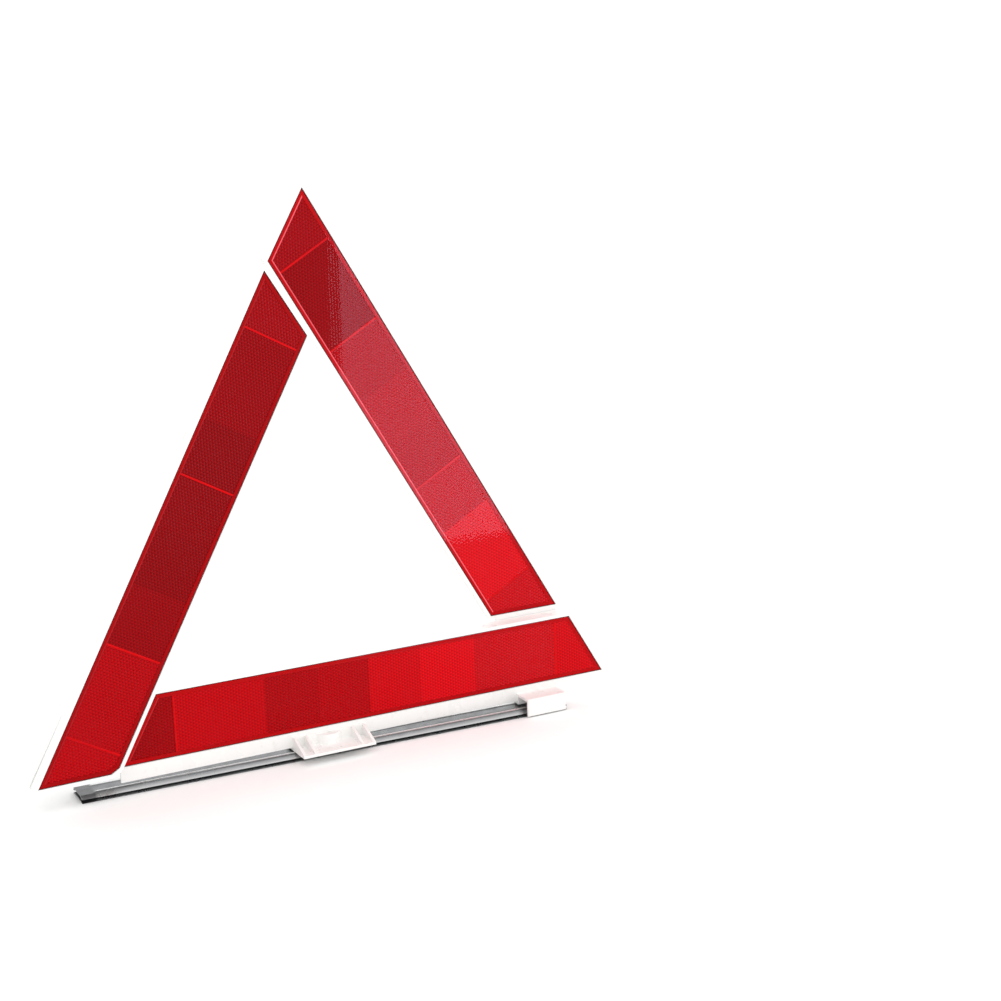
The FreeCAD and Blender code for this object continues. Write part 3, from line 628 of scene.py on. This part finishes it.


class Leg:
    """Builds a pressed leg: sloping sides, a flat crown and two beads that stop near its ends.
    Places lie along the leg and widths across it, both measured from its pivot."""

    def __init__(self, name):
        mesh = frame["nodes"][name].data
        low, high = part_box(name)
        joint = next(j for j in frame["joints"] if j["child"] == name)
        self.pivot = Vector(joint["pos_m"])
        self.foot = low.z
        self.crown = high.z - BEAD_HEIGHT
        self.along = leg_direction(mesh)
        self.across = Vector((-self.along.y, self.along.x, 0))
        reaches = [(v.co - self.pivot).dot(self.along) for v in mesh.vertices]
        self.start, self.stop = min(reaches), max(reaches)
        self.half_width = max((v.co - self.pivot).dot(self.across) for v in mesh.vertices)
        self.form = bmesh.new()
        self.painted_highlight = self.form.verts.layers.float.new("painted_highlight")
        self.painted_shade = self.form.verts.layers.float.new("painted_shade")

    def heights(self, width):
        """Height of the upper surface without its beads, and how much bead stands on it."""
        side = abs(width)
        flat_half = self.half_width - FLANGE
        if side >= flat_half:
            share = (self.half_width - side) / (self.half_width - flat_half)
            return self.foot + share * (self.crown - self.foot), 0.0
        away = abs(side - (flat_half - BEAD_INSET)) / BEAD_HALF
        bead = BEAD_HEIGHT * math.cos(away * math.pi / 2) if away < 1 else 0.0
        return self.crown, bead

    def vertex(self, place, width, height):
        level = self.pivot + self.along * place + self.across * width
        return self.form.verts.new((level.x, level.y, height))

    def ring(self, place, widths):
        """A loop of vertices round the leg: over its upper side and back under it."""
        bead_middle = self.half_width - FLANGE - BEAD_INSET
        from_end = min(place - self.start, self.stop - place)
        fade = min(1.0, max(0.0, (from_end - BEAD_START) / BEAD_FADE))
        swell = math.sin(fade * math.pi / 2)
        upper, lower = [], []
        for width in widths:
            flat, bead = self.heights(width)
            height = flat + bead * swell
            vert = self.vertex(place, width, height)
            # Painted highlight on the beads and at the foot of the sloping sides; painted shade
            # along the beads' feet and on the flat ends.
            slope_painted_highlight = SLOPE_PAINTED_HIGHLIGHT * (self.crown - flat) / (self.crown - self.foot)
            vert[self.painted_highlight] = (bead / BEAD_HEIGHT) ** 2 * swell if bead else slope_painted_highlight
            from_line = abs(abs(abs(width) - bead_middle) - PAINTED_SHADE_LINE)
            line = max(0.0, 1 - from_line / PAINTED_SHADE_HALF)
            vert[self.painted_shade] = max(END_PAINTED_SHADE * (1 - fade), LINE_PAINTED_SHADE * line * fade)
            upper.append(vert)
            inner = width * (1 - UNDER_INSET / self.half_width)
            lower.append(self.vertex(place, inner, max(self.foot, height - SHEET)))
        return upper + lower[::-1]

    def close_end(self, ring, turned):
        """Fills a ring with a row of faces from its upper to its lower side."""
        last = len(ring) - 1
        for index in range(len(ring) // 2 - 1):
            corners = [ring[index], ring[index + 1], ring[last - 1 - index], ring[last - index]]
            self.form.faces.new(corners[::-1] if turned else corners)

    def build(self, name, material):
        """The finished piece, not yet on a body."""
        length = self.stop - self.start
        places = [self.start + step * MM for step in END_RINGS]
        places += [self.start + length * part / MIDDLE_PARTS for part in range(1, MIDDLE_PARTS)]
        places += [self.stop - step * MM for step in reversed(END_RINGS)]
        widths = [self.half_width * (2 * part / ACROSS_PARTS - 1)
                  for part in range(ACROSS_PARTS + 1)]
        rings = [self.ring(place, widths) for place in places]
        for ring, following in zip(rings, rings[1:]):
            for index in range(len(ring)):
                after = (index + 1) % len(ring)
                self.form.faces.new((ring[index], following[index], following[after], ring[after]))
        self.close_end(rings[0], turned=False)
        self.close_end(rings[-1], turned=True)
        bmesh.ops.recalc_face_normals(self.form, faces=self.form.faces)
        piece = make_piece(name, self.form, [material])
        piece.data.shade_smooth()
        piece.data.set_sharp_from_angle(angle=math.radians(32))
        return piece


def leg_direction(mesh):
    """The direction of a long edge across which the CAD leg is narrowest, towards +X."""

    def spread(run):
        reaches = [v.co.x * run.y - v.co.y * run.x for v in mesh.vertices]
        return max(reaches) - min(reaches)

    edges = [mesh.vertices[e.vertices[0]].co - mesh.vertices[e.vertices[1]].co
             for e in mesh.edges]
    runs = [edge.normalized() for edge in edges if edge.length > 100 * MM]
    along = min(runs, key=spread)
    return Vector((abs(along.x), along.y if along.x > 0 else -along.y, 0)).normalized()


def make_legs():
    """The two legs, each on its body in place of its CAD node, which has the body's name."""
    material = steel("galvanised_sheet", light=(0.26, 0.265, 0.27), dark=(0.15, 0.155, 0.16),
                     rough=0.3, spangle=260)
    for leg in ("lower_leg", "upper_leg"):
        piece = Leg(leg).build(leg + "_pressed", material)
        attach(piece, leg)
        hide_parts(leg)


# ---------------------------------------------------------------- CAD nodes that stay

def dress(node, material, bevel):
    """Gives a CAD node its material and softens its edges."""
    piece = frame["nodes"][node]
    if not piece.material_slots:
        piece.data.materials.append(material)
    for slot in piece.material_slots:
        slot.link = "OBJECT"
        slot.material = material
    weld = piece.modifiers.new("weld", "WELD")
    weld.merge_threshold = 1e-6
    soften = piece.modifiers.new("soften", "BEVEL")
    soften.width = bevel
    soften.segments = 2
    soften.limit_method = "ANGLE"
    soften.angle_limit = math.radians(35)
    soften.use_clamp_overlap = True
    soften.harden_normals = False


def dress_nodes():
    """The white mouldings, and the rivets, washers and screws."""
    white = white_plastic()
    zinc = steel("zinc_plate", light=(0.62, 0.62, 0.61), dark=(0.42, 0.42, 0.42),
                 rough=0.25, spangle=700)
    for node in ("base_frame", "left_arm_frame", "right_arm_frame"):
        dress(node, white, 0.25 * MM)
    dress("leg_bracket", white, 0.4 * MM)
    dress("leg_retainer", white, 0.6 * MM)
    for node in ("left_hinge_rivet", "left_hinge_washer", "right_hinge_rivet",
                 "right_hinge_washer", "leg_rivet", "leg_spacer", "leg_washer",
                 "bracket_screws", "retainer_screw"):
        dress(node, zinc, 0.12 * MM)
    dress("apex_stud", white, 0.12 * MM)


make_camera()
make_floor()
make_sky()
make_key()
dress_nodes()
make_card(make_reflectors())
make_legs()
